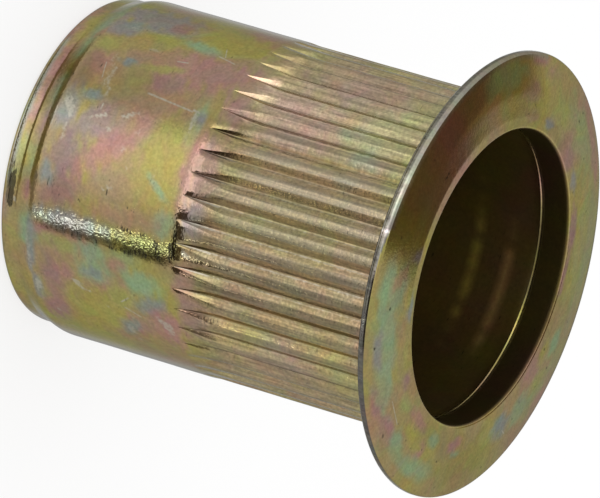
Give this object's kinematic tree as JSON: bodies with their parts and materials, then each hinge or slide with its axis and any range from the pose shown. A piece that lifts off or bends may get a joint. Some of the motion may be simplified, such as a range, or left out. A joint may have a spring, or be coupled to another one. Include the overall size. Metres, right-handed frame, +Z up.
{
  "type": "rivet nut",
  "caption": "Open-end knurled rivet nut in yellow zinc plated steel: fluted barrel, wide thin flange, open collapse chamber and threaded nose.",
  "frame": {"origin": "centre of the open nose end's face, on the nut's axis", "axes": "+Z up the axis, from the nose end to the flange; the nut stands on its nose end"},
  "size_m": [0.0176, 0.0176, 0.0182],
  "materials": {
    "rivet_nut": "yellow zinc plating over steel, satin with iridescent olive, pink and grey-green patches"
  },
  "bodies": {
    "root": {"rivet_nut": "rivet_nut"}
  },
  "joints": []
}
